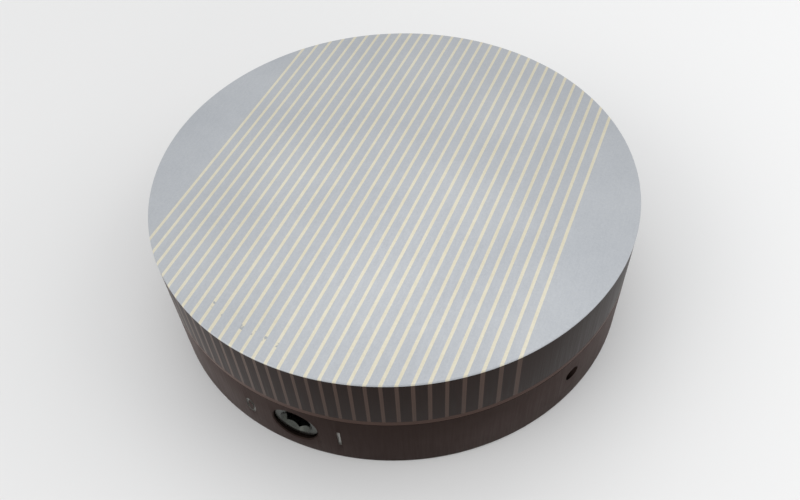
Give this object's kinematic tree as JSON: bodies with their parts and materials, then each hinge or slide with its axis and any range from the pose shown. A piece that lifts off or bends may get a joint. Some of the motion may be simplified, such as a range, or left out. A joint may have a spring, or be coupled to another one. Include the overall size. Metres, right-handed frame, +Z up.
{
  "type": "round permanent magnetic chuck",
  "caption": "Round permanent magnetic chuck: a ground pole plate of parallel steel and brass strips on a low drum housing, switched by a hex key that slides the magnet pack below.",
  "frame": {"origin": "centre of the base's underside", "axes": "+Z up, out of the working face; the pole strips run along Y and the key socket faces -Y, so the magnet pack slides along X"},
  "size_m": [0.16, 0.16, 0.045],
  "materials": {
    "pole_steel": "fine ground",
    "brass": "fine ground",
    "housing_steel": "turned, oiled",
    "shaft_steel": "turned",
    "screw_steel": "blackened",
    "pin_steel": "ground",
    "bronze": "turned",
    "seal_rubber": "smooth",
    "carrier_aluminium": "milled",
    "magnet_ferrite": "ground ferrite",
    "glide_plastic": "smooth"
  },
  "bodies": {
    "chuck": {"pole_lamellae": "pole_steel", "pole_separators": "brass", "pole_segment_left": "pole_steel", "pole_segment_right": "pole_steel", "seam_ring": "brass", "housing": "housing_steel", "plate_screws": "screw_steel", "dowel_pins": "pin_steel", "stop_screw": "screw_steel", "rear_bush": "bronze", "guide_pins": "screw_steel"},
    "key": {"key_shaft": "shaft_steel", "shaft_oring": "seal_rubber"},
    "front_ring": {"cam_ring_front": "bronze"},
    "rear_ring": {"cam_ring_rear": "bronze"},
    "magnet_pack": {"magnet_carrier": "carrier_aluminium", "pole_bars": "pole_steel", "magnets": "magnet_ferrite", "glide_strips": "glide_plastic", "guide_bushes": "bronze"}
  },
  "joints": [
    {"name": "pack_slide", "type": "slide", "parent": "chuck", "child": "magnet_pack", "axis": [1, 0, 0], "range_m": [0, 0.002]},
    {"name": "key_turn", "type": "hinge", "parent": "chuck", "child": "key", "pos_m": [0, 0, 0.01282], "axis": [0, 1, 0], "range_deg": [0, 180]},
    {"name": "front_ring_turn", "type": "hinge", "parent": "key", "child": "front_ring", "pos_m": [-0.001, -0.022, 0.01282], "axis": [0, 1, 0], "range_deg": [-180, 0]},
    {"name": "rear_ring_turn", "type": "hinge", "parent": "key", "child": "rear_ring", "pos_m": [-0.001, 0.022, 0.01282], "axis": [0, 1, 0], "range_deg": [-180, 0]}
  ],
  "couplings": [
    {"joint": "key_turn", "follows": "pack_slide", "rad_per_m": 1570.8},
    {"joint": "front_ring_turn", "follows": "pack_slide", "rad_per_m": -1570.8},
    {"joint": "rear_ring_turn", "follows": "pack_slide", "rad_per_m": -1570.8}
  ]
}
